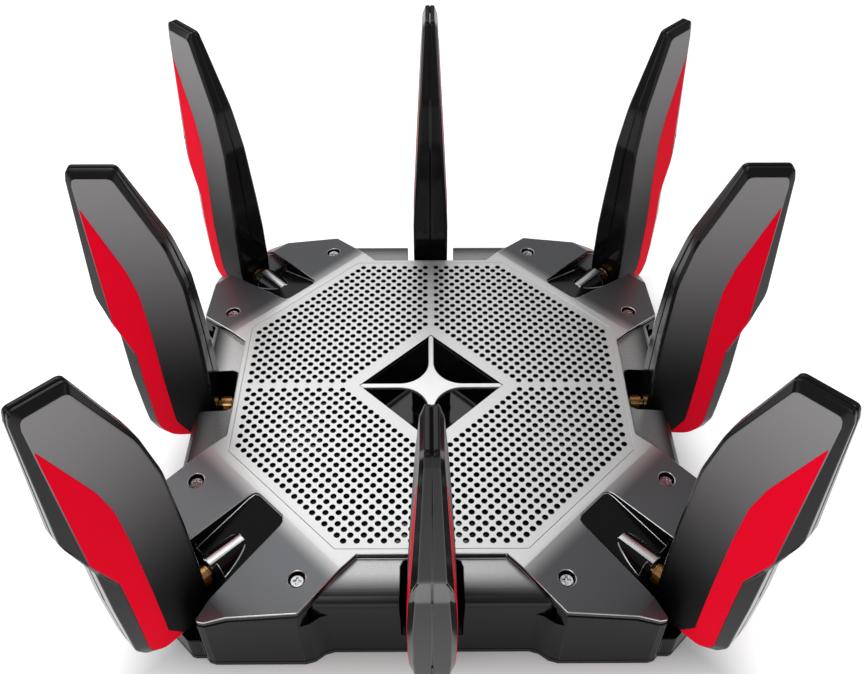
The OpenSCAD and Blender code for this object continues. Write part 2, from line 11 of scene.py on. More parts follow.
import bmesh
import bpy
from mathutils import Matrix, Vector


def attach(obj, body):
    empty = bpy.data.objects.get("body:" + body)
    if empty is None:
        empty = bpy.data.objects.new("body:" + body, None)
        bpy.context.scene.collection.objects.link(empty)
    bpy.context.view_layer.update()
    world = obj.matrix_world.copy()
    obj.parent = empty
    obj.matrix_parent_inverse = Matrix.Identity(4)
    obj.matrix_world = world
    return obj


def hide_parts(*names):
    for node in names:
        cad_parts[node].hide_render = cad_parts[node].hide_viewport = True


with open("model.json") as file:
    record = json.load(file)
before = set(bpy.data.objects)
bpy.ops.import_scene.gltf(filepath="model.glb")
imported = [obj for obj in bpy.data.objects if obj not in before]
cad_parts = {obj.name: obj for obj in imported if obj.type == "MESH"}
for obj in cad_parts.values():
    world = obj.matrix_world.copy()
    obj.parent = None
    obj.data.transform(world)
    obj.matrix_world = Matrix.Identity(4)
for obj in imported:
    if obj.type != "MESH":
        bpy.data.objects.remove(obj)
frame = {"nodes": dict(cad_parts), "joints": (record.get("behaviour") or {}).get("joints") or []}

LOG = logging.getLogger("router")
MM = 0.001
ROOT2 = math.sqrt(2.0)
FOLD = 16.0  # degrees; sharper folds stay crisp on bevelled pieces
Point2 = tuple[float, float]
Point3 = tuple[float, float, float]
Colour = tuple[float, float, float]
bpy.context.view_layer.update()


# ---------------------------------------------------------------- shader maths


class Value:
    """A shader socket that Python operators can be used on."""

    def __init__(self, graph: "Graph", socket: bpy.types.NodeSocket) -> None:
        """Wraps one output socket of a graph."""
        self.graph = graph
        self.socket = socket

    def _math(self, operation: str, *operands: "Value | float") -> "Value":
        """Adds one Math node.

        Args:
            operation: The Math node's operation.
            operands: Its inputs in order.

        Returns:
            The node's result.
        """
        return self.graph.node("ShaderNodeMath", {"operation": operation}, dict(enumerate(operands)))

    def __add__(self, other: "Value | float") -> "Value":
        """Sum."""
        return self._math("ADD", self, other)

    def __sub__(self, other: "Value | float") -> "Value":
        """Difference."""
        return self._math("SUBTRACT", self, other)

    def __rsub__(self, other: float) -> "Value":
        """Difference from a plain number."""
        return self._math("SUBTRACT", other, self)

    def __mul__(self, other: "Value | float") -> "Value":
        """Product."""
        return self._math("MULTIPLY", self, other)

    def __truediv__(self, other: "Value | float") -> "Value":
        """Quotient."""
        return self._math("DIVIDE", self, other)

    def __abs__(self) -> "Value":
        """Absolute value."""
        return self._math("ABSOLUTE", self)

    def larger(self, other: "Value | float") -> "Value":
        """The larger of the two."""
        return self._math("MAXIMUM", self, other)

    __radd__ = __add__
    __rmul__ = __mul__

    def smooth(self, low: float, high: float) -> "Value":
        """Smooth step from 0 at low to 1 at high.

        Args:
            low: Where the step starts.
            high: Where it ends.

        Returns:
            The step's value.
        """
        settings = {"interpolation_type": "SMOOTHSTEP"}
        inputs = {"Value": self, "From Min": low, "From Max": high}
        return self.graph.node("ShaderNodeMapRange", settings, inputs)


class Graph:
    """One material's node tree."""

    def __init__(self, name: str) -> None:
        """Makes a material with a bare Principled shader."""
        self.material = bpy.data.materials.new(name)
        self.material.use_nodes = True
        self.tree = self.material.node_tree
        self.shader = self.tree.nodes["Principled BSDF"]

    def node(
        self, kind: str, settings: dict[str, object] | None = None,
        inputs: dict[object, object] | None = None, output: str | int = 0,
    ) -> Value:
        """Adds one node.

        Args:
            kind: The node's type.
            settings: Attributes that are set before its sockets.
            inputs: Values or links, by socket name or number.
            output: The output that is returned.

        Returns:
            The wrapped output.
        """
        made = self.tree.nodes.new(kind)
        for key, value in (settings or {}).items():
            setattr(made, key, value)
        for key, value in (inputs or {}).items():
            self.feed(made.inputs[key], value)
        return Value(self, made.outputs[output])

    def feed(self, socket: bpy.types.NodeSocket, value: object) -> None:
        """Links a wrapped value to a socket, or sets a constant."""
        if isinstance(value, Value):
            self.tree.links.new(value.socket, socket)
        else:
            socket.default_value = value

    def place(self) -> Value:
        """The piece's own coordinates, in metres."""
        return self.node("ShaderNodeTexCoord", output="Object")

    def axes(self) -> tuple[Value, Value, Value]:
        """X, Y and Z of the piece's own coordinates."""
        split = self.node("ShaderNodeSeparateXYZ", inputs={"Vector": self.place()})
        outputs = split.socket.node.outputs
        return Value(self, outputs[0]), Value(self, outputs[1]), Value(self, outputs[2])

    def noise(self, scale: float, detail: float = 2.0, stretch: Sequence[float] = (1, 1, 1)) -> Value:
        """Noise on the piece's own coordinates.

        Args:
            scale: Cells for each metre.
            detail: Octaves.
            stretch: Scale along each axis.

        Returns:
            The noise factor, around one half.
        """
        mapped = self.node("ShaderNodeMapping", inputs={"Vector": self.place(), "Scale": tuple(stretch)})
        return self.node("ShaderNodeTexNoise", inputs={"Vector": mapped, "Scale": scale, "Detail": detail})

    def mix(self, mask: Value, low: Colour, high: Colour) -> Value:
        """Mixes two colours by a mask.

        Args:
            mask: 0 for the first, 1 for the second.
            low: The first colour.
            high: The second colour.

        Returns:
            The mixed colour.
        """
        made = self.tree.nodes.new("ShaderNodeMix")
        made.data_type = "RGBA"
        self.feed(made.inputs[0], mask)
        self.feed(made.inputs[6], (*low, 1.0))
        self.feed(made.inputs[7], (*high, 1.0))
        return Value(self, made.outputs[2])

    def bump(self, height: Value, strength: float, distance: float) -> None:
        """Feeds a height to the shader's Normal through a Bump node."""
        values = {"Height": height, "Strength": strength, "Distance": distance}
        self.feed(self.shader.inputs["Normal"], self.node("ShaderNodeBump", inputs=values))

    def set(self, **values: object) -> None:
        """Sets the shader's sockets, with underscores for spaces in their names."""
        for key, value in values.items():
            if isinstance(value, tuple) and len(value) == 3:
                value = (*value, 1.0)
            self.feed(self.shader.inputs[key.replace("_", " ")], value)


# ---------------------------------------------------------------- finishes


@dataclass(frozen=True)
class TopPaint:
    """Satin metallic paint with painted light: the silver over the flat middle stands for the overhead
    light reflected in it, and it blends into darker gunmetal down the sloping wing flaps as painted shade.
    """

    name: str = "top_paint"
    # Painted reflection: the silver of the flat middle.
    middle: Colour = (0.70, 0.705, 0.70)
    shaded_wings: Colour = (0.165, 0.17, 0.18)
    shade_fade: Point2 = (0.0955, 0.1065)
    roughness: float = 0.36
    metallic: float = 0.8

    def build(self) -> bpy.types.Material:
        """Builds the material.

        Returns:
            The finished material.
        """
        g = Graph(self.name)
        x, y, _ = g.axes()
        across = (abs(x) + abs(y)) / ROOT2
        # Mask of the painted light: 0 on the lit flat middle, 1 on the shaded slopes.
        mask = across.smooth(*self.shade_fade)
        flakes = g.noise(9000.0, 1.0)
        cloud = g.noise(35.0, 2.0)
        base = g.mix(mask, self.middle, self.shaded_wings)
        shade = g.node(
            "ShaderNodeHueSaturation",
            inputs={"Color": base, "Value": 0.94 + 0.06 * cloud + 0.06 * flakes},
        )
        g.set(Base_Color=shade, Metallic=self.metallic, Roughness=self.roughness + 0.06 * cloud)
        g.set(Coat_Weight=0.15, Coat_Roughness=0.2)
        g.bump(flakes, 0.08, 0.00004)
        return g.material


@dataclass(frozen=True)
class PanelPaint:
    """Silver side panels that darken to black as they roll over into the walls: painted shade across the
    roll, ending in the walls' own gloss black.
    """

    name: str = "panel_paint"
    inner: Colour = (0.5, 0.5, 0.5)
    rolled_black_and_shade: Colour = (0.008, 0.008, 0.009)
    shade_fade: Point2 = (0.1005, 0.1128)
    roughness: float = 0.33

    def build(self) -> bpy.types.Material:
        """Builds the material.

        Returns:
            The finished material.
        """
        g = Graph(self.name)
        x, y, _ = g.axes()
        reach = abs(x).larger(abs(y))
        flakes = g.noise(9000.0, 1.0)
        # The darkening across the roll is painted shade; only its black end is the walls' own colour.
        g.set(Base_Color=g.mix(reach.smooth(*self.shade_fade), self.inner, self.rolled_black_and_shade))
        g.set(Metallic=0.7 * (1.0 - reach.smooth(*self.shade_fade)), Roughness=self.roughness - 0.12 * flakes)
        g.set(Specular_IOR_Level=0.3)
        g.bump(flakes, 0.06, 0.00003)
        return g.material


@dataclass(frozen=True)
class Plastic:
    """Moulded plastic with a fine surface and a little uneven sheen."""

    name: str
    colour: Colour
    roughness: float
    grain: float = 0.1
    grain_scale: float = 5000.0
    specular: float = 0.4
    coat: float = 0.0

    def build(self) -> bpy.types.Material:
        """Builds the material.

        Returns:
            The finished material.
        """
        g = Graph(self.name)
        cloud = g.noise(28.0, 3.0)
        grain = g.noise(self.grain_scale, 2.0)
        lighter = tuple(min(1.0, c * 1.12) for c in self.colour)
        g.set(Base_Color=g.mix(cloud, self.colour, lighter))
        g.set(Roughness=self.roughness + 0.07 * (cloud - 0.5) + 0.04 * (grain - 0.5))
        g.set(Specular_IOR_Level=self.specular, Coat_Weight=self.coat, Coat_Roughness=0.05)
        g.bump(grain, self.grain, 0.00003)
        return g.material


@dataclass(frozen=True)
class BladeFace:
    """The antennas' satin faces, with painted light: painted shade keeps them black low down, and they turn
    grey towards the top where the light falls.
    """

    name: str = "antenna_face"
    shaded_foot: Colour = (0.002, 0.002, 0.002)
    lit_head: Colour = (0.32, 0.313, 0.32)
    light_rise: Point2 = (0.05, 0.19)
    roughness: float = 0.42

    def build(self) -> bpy.types.Material:
        """Builds the material.

        Returns:
            The finished material.
        """
        g = Graph(self.name)
        _, _, z = g.axes()
        grain = g.noise(6000.0, 2.0)
        cloud = g.noise(22.0, 2.0)
        # Painted light: black low on the blade, grey higher up.
        g.set(Base_Color=g.mix(z.smooth(*self.light_rise), self.shaded_foot, self.lit_head))
        g.set(Roughness=self.roughness + 0.05 * (cloud - 0.5), Specular_IOR_Level=0.06)
        g.bump(grain, 0.12, 0.00003)
        return g.material


@dataclass(frozen=True)
class Metal:
    """Bare or plated metal with fine brushing along one axis."""

    name: str
    colour: Colour
    roughness: float
    brushing: Sequence[float] = (1.0, 1.0, 30.0)

    def build(self) -> bpy.types.Material:
        """Builds the material.

        Returns:
            The finished material.
        """
        g = Graph(self.name)
        lines = g.noise(900.0, 3.0, self.brushing)
        cloud = g.noise(120.0, 2.0)
        darker = tuple(c * 0.72 for c in self.colour)
        g.set(Base_Color=g.mix(cloud, darker, self.colour), Metallic=1.0)
        g.set(Roughness=self.roughness + 0.12 * (lines - 0.5))
        g.bump(lines, 0.1, 0.00002)
        return g.material


@dataclass(frozen=True)
class BoardFinish:
    """Green solder mask over fine copper tracks."""

    name: str = "circuit_board"
    mask: Colour = (0.008, 0.07, 0.035)
    copper: Colour = (0.02, 0.14, 0.07)

    def build(self) -> bpy.types.Material:
        """Builds the material.

        Returns:
            The finished material.
        """
        g = Graph(self.name)
        tracks = g.node(
            "ShaderNodeTexVoronoi", {"feature": "DISTANCE_TO_EDGE"}, {"Vector": g.place(), "Scale": 260.0},
        )
        line = 1.0 - tracks.smooth(0.02, 0.05)
        g.set(Base_Color=g.mix(line, self.mask, self.copper), Roughness=0.32 + 0.1 * line)
        g.bump(line, 0.3, 0.00004)
        return g.material


class Finish(Enum):
    """Every finish on the router, by the name that the classes use."""

    TOP = TopPaint()
    # The badge lies inside where the painted shade starts, so it shows only the first colour.
    STAR = TopPaint("star_paint", (0.74, 0.745, 0.74), (0.3, 0.3, 0.31), (0.2, 0.3), 0.3, 0.85)
    PANEL = PanelPaint()
    CHANNEL = Plastic("channel_paint", (0.13, 0.132, 0.14), 0.36, 0.06, 6000.0, 0.5, 0.1)
    # Painted highlight: bright strips on the bosses' ridges and on every bevel of the cover, standing for
    # glints of the light.
    HIGHLIGHT = Metal("painted_highlight", (0.85, 0.85, 0.86), 0.3)
    WALL = Plastic("wall_gloss", (0.003, 0.003, 0.004), 0.17, 0.02, 4000.0, 0.1)
    WELL = Plastic("well_gloss", (0.003, 0.003, 0.0035), 0.1, 0.01, 4000.0, 0.4)
    SATIN = Plastic("base_satin", (0.008, 0.008, 0.009), 0.5, 0.35, 3200.0, 0.25)
    SHADE = Plastic("hole_shade", (0.002, 0.002, 0.002), 0.6, 0.1, 3000.0, 0.05)
    EDGE = Plastic("antenna_edge", (0.006, 0.006, 0.0065), 0.16, 0.02, 4000.0, 0.25)
    FACE = BladeFace()
    RED = Plastic("inlay_red", (0.93, 0.0008, 0.022), 0.5, 0.1, 6000.0, 0.02)
    GOLD = Metal("connector_gold", (0.66, 0.40, 0.16), 0.24)
    STEEL = Metal("screw_steel", (0.50, 0.51, 0.52), 0.24)
    SINK = Metal("sink_black", (0.02, 0.02, 0.022), 0.5, (1.0, 30.0, 1.0))
    BOARD = BoardFinish()
    RUBBER = Plastic("foot_rubber", (0.012, 0.012, 0.012), 0.8, 0.5, 2200.0, 0.2)
    SOCKET = Plastic("socket_black", (0.016, 0.016, 0.018), 0.45, 0.2, 3600.0, 0.4)
    WAN = Plastic("socket_blue", (0.012, 0.05, 0.26), 0.42, 0.2, 3600.0, 0.4)
    LEAD = Plastic("lead_jacket", (0.014, 0.014, 0.014), 0.5, 0.2, 3000.0, 0.4)

    def material(self) -> bpy.types.Material:
        """The finish's material, built once."""
        found = bpy.data.materials.get(self.value.name)
        return found or self.value.build()


# ---------------------------------------------------------------- mesh helpers


def fillet(points: Sequence[Point2], radii: Sequence[float], steps: int) -> list[Point2]:
    """Rounds an outline's corners.

    Args:
        points: The corners in order.
        radii: One radius for each corner, 0 to leave it sharp.
        steps: Segments in each arc.

    Returns:
        The outline, with steps + 1 points at each rounded corner.
    """
    out: list[Point2] = []
    count = len(points)
    for i, radius in enumerate(radii):
        corner = Vector(points[i])
        before = Vector(points[i - 1]) - corner
        after = Vector(points[(i + 1) % count]) - corner
        if radius <= 0:
            out.append(tuple(corner))
            continue
        half = before.angle(after) / 2.0
        reach = min(radius / math.tan(half), 0.48 * before.length, 0.48 * after.length)
        start = corner + before.normalized() * reach
        end = corner + after.normalized() * reach
        for k in range(steps + 1):
            t = k / steps
            out.append(tuple(start * (1 - t) ** 2 + corner * (2 * t * (1 - t)) + end * t * t))
    return out


def spread(values: Sequence[float], radii: Sequence[float], steps: int) -> list[float]:
    """Repeats each corner's value for the points that fillet makes there."""
    return [v for v, r in zip(values, radii) for _ in range(steps + 1 if r > 0 else 1)]


def add_object(name: str, mesh: bpy.types.Mesh) -> bpy.types.Object:
    """Links a new object at the origin."""
    made = bpy.data.objects.new(name, mesh)
    bpy.context.scene.collection.objects.link(made)
    return made


def object_from(name: str, bm: bmesh.types.BMesh, finishes: Sequence[Finish]) -> bpy.types.Object:
    """Turns a bmesh into an object.

    Args:
        name: The piece's name.
        bm: The mesh, in metres. It is freed.
        finishes: The finish of each material slot.

    Returns:
        The new object.
    """
    mesh = bpy.data.meshes.new(name)
    bm.to_mesh(mesh)
    bm.free()
    for finish in finishes:
        mesh.materials.append(finish.material())
    return add_object(name, mesh)


def soften(
    piece: bpy.types.Object, width: float, angle: float = 30.0, segments: int = 2, rim: int = -1,
) -> None:
    """Shades a piece smooth and rounds its edges.

    Args:
        piece: The piece.
        width: The bevel's width in millimetres, or 0 for none.
        angle: Edges sharper than this many degrees are bevelled.
        segments: Faces across a bevel.
        rim: The bevels' own material slot, or -1 to take their neighbours'.
    """
    piece.data.shade_smooth()
    piece.data.set_sharp_from_angle(angle=math.radians(FOLD if width > 0 else angle))
    if width <= 0:
        return
    bevel = piece.modifiers.new("edges", "BEVEL")
    bevel.width = width * MM
    bevel.segments = segments
    bevel.limit_method = "ANGLE"
    bevel.angle_limit = math.radians(angle)
    bevel.use_clamp_overlap = False
    bevel.loop_slide = False
    bevel.miter_outer = "MITER_ARC"
    bevel.material = rim
    even = piece.modifiers.new("flats", "WEIGHTED_NORMAL")
    even.weight = 80
    even.keep_sharp = True


def flat_regions(bm: bmesh.types.BMesh, limit: float) -> list[list[bmesh.types.BMFace]]:
    """Groups touching faces that lie in one plane.

    Args:
        bm: The mesh.
        limit: The largest angle to the first face's normal, in radians.

    Returns:
        The groups that hold more than one face.
    """
    groups, seen = [], set()
    for seed in bm.faces:
        if seed in seen:
            continue
        seen.add(seed)
        group, queue = [seed], [seed]
        while queue:
            face = queue.pop()
            for edge in face.edges:
                for other in edge.link_faces:
                    if other not in seen and other.normal.angle(seed.normal, 4.0) < limit:
                        seen.add(other)
                        group.append(other)
                        queue.append(other)
        if len(group) > 1:
            groups.append(group)
    return groups


def merge_flats(bm: bmesh.types.BMesh, limit: float = 0.006) -> None:
    """Joins the triangles of each flat region that has no hole in it.

    Args:
        bm: The mesh, changed in place.
        limit: The largest angle within a flat region, in radians.
    """
    bm.normal_update()
    for group in flat_regions(bm, limit):
        edges = {edge for face in group for edge in face.edges}
        verts = {vert for face in group for vert in face.verts}
        rim = [edge for edge in edges if sum(face in group for face in edge.link_faces) == 1]
        ends = {vert for edge in rim for vert in edge.verts}
        if len(verts) - len(edges) + len(group) == 1 and len(rim) == len(ends) == len(verts):
            bmesh.utils.face_join(group, True)
    bmesh.ops.dissolve_limit(bm, angle_limit=limit, verts=bm.verts, edges=[])


def skin(
    node: str, name: str, finishes: Sequence[Finish], width: float, angle: float = 30.0,
    pick: Callable[[Vector, Vector], int] | None = None, rim: int = -1,
) -> bpy.types.Object:
    """A clean copy of a CAD node's mesh with rounded edges.

    Args:
        node: The CAD node, which the copy stands for.
        name: The new piece's name.
        finishes: The finish of each material slot.
        width: The bevel's width in millimetres.
        angle: The bevel's lowest angle in degrees.
        pick: Gives a face's material slot from its centre and normal.
        rim: The bevels' own material slot, or -1.

    Returns:
        The new piece.
    """
    bm = bmesh.new()
    bm.from_mesh(frame["nodes"][node].data)
    bmesh.ops.remove_doubles(bm, verts=bm.verts, dist=2e-6)
    merge_flats(bm)
    bm.normal_update()
    for face in bm.faces:
        face.material_index = pick(face.calc_center_median(), face.normal) if pick else 0
    piece = object_from(name, bm, finishes)
    soften(piece, width, angle, rim=rim)
    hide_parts(node)
    return piece


def dress(
    node: str, *finishes: Finish, pick: Callable[[Vector, Vector], int] | None = None,
) -> None:
    """Gives a CAD node that stays visible its finishes.

    Args:
        node: The CAD node.
        finishes: The finish of each material slot.
        pick: Gives a face's material slot from its centre and normal.
    """
    mesh = frame["nodes"][node].data
    mesh.materials.clear()
    for finish in finishes:
        mesh.materials.append(finish.material())
    if pick:
        mesh.polygons.foreach_set("material_index", [pick(p.center, p.normal) for p in mesh.polygons])
    LOG.info("dressed %s", node)


def settle(piece: bpy.types.Object, body: str) -> bpy.types.Object:
    """Makes a piece ride on its body.

    Args:
        piece: The finished piece.
        body: The CAD body that it moves with.

    Returns:
        The same piece.
    """
    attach(piece, body)
    LOG.info("piece %s rides on %s", piece.name, body)
    return piece


# ---------------------------------------------------------------- geometry nodes


class Tree:
    """A Geometry Nodes tree that is built and then run on pieces; each piece is removed after its run."""

    def __init__(self, name: str, inputs: dict[str, str]) -> None:
        """Makes the group with a Geometry input and output and the named inputs."""
        self.group = bpy.data.node_groups.new(name, "GeometryNodeTree")
        face = self.group.interface
        face.new_socket("Geometry", in_out="INPUT", socket_type="NodeSocketGeometry")
        for label, kind in inputs.items():
            face.new_socket(label, in_out="INPUT", socket_type=kind)
        face.new_socket("Geometry", in_out="OUTPUT", socket_type="NodeSocketGeometry")
        self.entry = self.group.nodes.new("NodeGroupInput")
        self.exit = self.group.nodes.new("NodeGroupOutput")

    def node(
        self, kind: str, inputs: dict[str, object], settings: dict[str, object] | None = None,
    ) -> bpy.types.Node:
        """Adds one node.

        Args:
            kind: The node's type.
            inputs: Constants, or output sockets to link.
            settings: Attributes that are set first.

        Returns:
            The node.
        """
        made = self.group.nodes.new(kind)
        for key, value in (settings or {}).items():
            setattr(made, key, value)
        for key, value in inputs.items():
            if isinstance(value, bpy.types.NodeSocket):
                self.group.links.new(value, made.inputs[key])
            else:
                made.inputs[key].default_value = value
        return made

    def given(self, label: str) -> bpy.types.NodeSocket:
        """The group's input of that name."""
        return self.entry.outputs[label]

    def close(self, geometry: bpy.types.NodeSocket) -> None:
        """Ends the tree in Realize Instances and Set Material."""
        real = self.node("GeometryNodeRealizeInstances", {"Geometry": geometry})
        dressed = self.node(
            "GeometryNodeSetMaterial", {"Geometry": real.outputs[0], "Material": self.given("Finish")}
        )
        self.group.links.new(dressed.outputs[0], self.exit.inputs[0])

    def run(self, piece: bpy.types.Object, values: dict[str, object]) -> bpy.types.Mesh:
        """Runs the tree on a piece.

        Args:
            piece: The object whose mesh goes in.
            values: The named inputs.

        Returns:
            The result as a plain mesh. The piece is removed.
        """
        modifier = piece.modifiers.new(self.group.name, "NODES")
        modifier.node_group = self.group
        for item in self.group.interface.items_tree:
            if item.in_out == "INPUT" and item.name in values:
                modifier[item.identifier] = values[item.name]
        bpy.context.view_layer.update()
        graph = bpy.context.evaluated_depsgraph_get()
        mesh = bpy.data.meshes.new_from_object(piece.evaluated_get(graph))
        piece.modifiers.clear()
        bpy.data.objects.remove(piece)
        return mesh


class ScatterTree(Tree):
    """Copies one piece to every point, turned about Z by the point's "turn" attribute."""

    def __init__(self) -> None:
        """Builds the tree."""
        super().__init__("scatter", {"Copy": "NodeSocketObject", "Finish": "NodeSocketMaterial"})
        source = self.node("GeometryNodeObjectInfo", {"Object": self.given("Copy")})
        turn = self.node("GeometryNodeInputNamedAttribute", {"Name": "turn"}, {"data_type": "FLOAT"})
        angles = self.node("ShaderNodeCombineXYZ", {"Z": turn.outputs[0]})
        placed = self.node(
            "GeometryNodeInstanceOnPoints",
            {
                "Points": self.given("Geometry"), "Instance": source.outputs["Geometry"],
                "Rotation": angles.outputs[0],
            },
        )
        self.close(placed.outputs[0])

    def scatter(
        self, name: str, copy: bpy.types.Object, spots: Sequence[tuple[Vector, float]], finish: Finish,
    ) -> bpy.types.Object:
        """Makes one piece of many copies.

        Args:
            name: The new piece's name.
            copy: What is copied. It is removed afterwards.
            spots: A place in metres and a turn in radians for each copy.
            finish: The finish of all copies.

        Returns:
            The new piece.
        """
        mesh = bpy.data.meshes.new(name)
        mesh.from_pydata([tuple(p) for p, _ in spots], [], [])
        turns = mesh.attributes.new("turn", "FLOAT", "POINT")
        turns.data.foreach_set("value", [a for _, a in spots])
        result = self.run(add_object(name + "_points", mesh), {"Copy": copy, "Finish": finish.material()})
        bpy.data.objects.remove(copy)
        result.name = name
        return add_object(name, result)


class KnurlTree(Tree):
    """Sets a ring of ridges round a nut that lies along X."""

    def __init__(self) -> None:
        """Builds the tree."""
        inputs = {
            "Ridges": "NodeSocketInt", "Radius": "NodeSocketFloat", "Length": "NodeSocketFloat",
            "Ridge Width": "NodeSocketFloat", "Start": "NodeSocketFloat", "Finish": "NodeSocketMaterial",
        }
        super().__init__("knurl", inputs)
        circle = self.node(
            "GeometryNodeMeshCircle", {"Vertices": self.given("Ridges"), "Radius": self.given("Radius")}
        )
        size = self.node(
            "ShaderNodeCombineXYZ",
            {"X": self.given("Ridge Width"), "Y": self.given("Ridge Width"), "Z": self.given("Length")},
        )
        ridge = self.node("GeometryNodeMeshCube", {"Size": size.outputs[0]})
        place = self.node("GeometryNodeInputPosition", {})
        aim = self.node(
            "FunctionNodeAlignRotationToVector", {"Vector": place.outputs[0]},
            {"axis": "X", "pivot_axis": "Z"},
        )
        placed = self.node(
            "GeometryNodeInstanceOnPoints",
            {"Points": circle.outputs[0], "Instance": ridge.outputs[0], "Rotation": aim.outputs[0]},
        )
        shift = self.node("ShaderNodeCombineXYZ", {"X": self.given("Start")})
        laid = self.node(
            "GeometryNodeTransform",
            {
                "Geometry": placed.outputs[0], "Translation": shift.outputs[0],
                "Rotation": (0.0, math.pi / 2, 0.0),
            },
        )
        joined = self.node("GeometryNodeJoinGeometry", {"Geometry": laid.outputs[0]})
        self.group.links.new(self.given("Geometry"), joined.inputs[0])
        self.close(joined.outputs[0])


# ---------------------------------------------------------------- the router


def lathe(profile: Sequence[Point2], sides: int, bm: bmesh.types.BMesh) -> None:
    """Turns a closed profile of (along X, radius) into a ring about X.

    Args:
        profile: The section, in metres.
        sides: Faces round the ring.
        bm: The mesh that takes it.
    """
    rings = []
    for k in range(sides):
        a = math.tau * k / sides
        rings.append([bm.verts.new((x, r * math.cos(a), r * math.sin(a))) for x, r in profile])
    for k in range(sides):
        here, there = rings[k], rings[(k + 1) % sides]
        for i in range(len(profile)):
            j = (i + 1) % len(profile)
            bm.faces.new((here[i], here[j], there[j], there[i]))
    bmesh.ops.recalc_face_normals(bm, faces=bm.faces)


@dataclass
class Antenna:
    """One blade antenna: two shells, two coloured inlays, a board and a plug."""

    name: str
    origin: Vector
    outward: Vector
    steps: int = 5
    half_foot: float = 8.5
    half_stem: float = 9.5
    half_tip: float = 3.5
    foot_z: float = -15.0
    stem_z: float = 6.0
    knee_z: float = 29.5
    top_z: float = 141.5
    seam: float = 0.08
    groove: float = 0.3
    inlay_proud: float = 0.12
    inlay_depth: float = 0.7
    full: float = 20.0
    edge_band: float = 2.2
    middle: Point2 = (20.0, 60.0)
    outline: list[Point2] = field(default_factory=lambda: [
        (0.0, -4.5), (9.0, -13.0), (24.0, -14.0), (30.8, -11.0), (34.8, -4.0), (36.0, 29.5), (36.0, 54.5),
        (42.3, 78.0), (39.6, 135.5), (38.4, 140.5), (19.1, 140.5), (5.0, 103.5), (1.0, 82.0), (0.0, 49.5),
    ])
    face: list[Point2] = field(default_factory=lambda: [
        (1.2, -3.9), (9.6, -12.0), (23.4, -12.9), (28.4, -9.2), (30.0, -4.0), (30.3, 29.5), (30.5, 44.5),
        (37.1, 62.0), (37.0, 133.5), (36.2, 137.0), (20.8, 137.0), (6.5, 103.0), (2.4, 81.7), (1.3, 49.5),
    ])
    radii: list[float] = field(default_factory=lambda: [
        4.0, 4.0, 10.0, 8.0, 10.0, 0.0, 12.0, 12.0, 3.0, 2.5, 3.0, 40.0, 40.0, 40.0,
    ])
    chamfers: list[float] = field(default_factory=lambda: [
        1.2, 1.2, 1.4, 2.0, 2.2, 2.2, 2.2, 2.2, 1.6, 1.4, 1.4, 1.2, 1.2, 1.2,
    ])
    inlay: list[Point2] = field(default_factory=lambda: [
        (15.0, -11.8), (24.0, -12.6), (28.2, -9.0), (30.0, -4.0), (30.3, 44.5), (36.8, 62.5), (36.8, 124.0),
        (25.0, 93.0), (22.0, 80.0), (21.0, 60.0), (20.6, -2.0),
    ])
    inlay_radii: list[float] = field(default_factory=lambda: [
        0.4, 6.0, 6.0, 6.0, 4.0, 4.0, 0.4, 14.0, 24.0, 30.0, 2.0,
    ])

    def half_thickness(self, z: float) -> float:
        """Half the blade's thickness at a height above the connector.

        Args:
            z: The height in millimetres.

        Returns:
            Half the thickness in millimetres.
        """
        stops = [
            (self.foot_z, self.half_foot), (self.stem_z, self.half_stem), (self.knee_z, self.half_stem),
            (self.top_z, self.half_tip),
        ]
        for (z0, h0), (z1, h1) in zip(stops, stops[1:]):
            if z <= z1:
                return h0 + (h1 - h0) * (z - z0) / (z1 - z0)
        return self.half_tip

    def placing(self) -> Matrix:
        """The matrix from the blade's own millimetres to its place in metres."""
        up = Vector((0, 0, 1))
        side = up.cross(self.outward)
        turn = Matrix((self.outward, side, up)).transposed().to_4x4()
        return Matrix.Translation(self.origin) @ turn @ Matrix.Scale(MM, 4)

    def cut_at_bends(self, bm: bmesh.types.BMesh) -> None:
        """Splits faces where the thickness changes its slope."""
        for z in (self.stem_z, self.knee_z):
            parts = list(bm.verts) + list(bm.edges) + list(bm.faces)
            bmesh.ops.bisect_plane(bm, geom=parts, plane_co=(0, 0, z), plane_no=(0, 0, 1), dist=1e-4)

    def half_shell(self, sign: float) -> bmesh.types.BMesh:
        """One of the two shells, in the blade's own millimetres.

        Args:
            sign: +1 or -1 for the side of the centre seam.

        Returns:
            A closed mesh, with slot 0 on the face and slot 1 on the edges.
        """
        full, low = self.full, self.seam + self.groove
        outer = fillet(self.outline, self.radii, self.steps)
        inner = fillet(self.face, self.radii, self.steps)
        depth = spread(self.chamfers, self.radii, self.steps)
        middle = Vector(self.middle)
        bm = bmesh.new()
        loops = [
            [bm.verts.new((u, full, z)) for u, z in inner],
            [bm.verts.new((u, full - c, z)) for (u, z), c in zip(outer, depth)],
            [bm.verts.new((u, low, z)) for u, z in outer],
        ]
        sunk = [Vector(p) + (middle - Vector(p)).normalized() * self.groove for p in outer]
        loops.append([bm.verts.new((p.x, self.seam, p.y)) for p in sunk])
        count = len(outer)
        for near, far in zip(loops, loops[1:]):
            for i in range(count):
                j = (i + 1) % count
                bm.faces.new((near[i], near[j], far[j], far[i])).material_index = 1
        bm.faces.new(loops[0]).material_index = 0
        bm.faces.new(list(reversed(loops[-1]))).material_index = 1
        self.cut_at_bends(bm)
        for v in bm.verts:
            y = v.co.y
            room = self.half_thickness(v.co.z)
            edge = self.edge_band
            if y > full - edge - 1e-6:
                y = room - (full - y)
            elif y > low + 1e-6:
                y = low + (y - low) * (room - edge - low) / (full - edge - low)
            v.co.y = sign * y
        bmesh.ops.recalc_face_normals(bm, faces=bm.faces)
        return bm

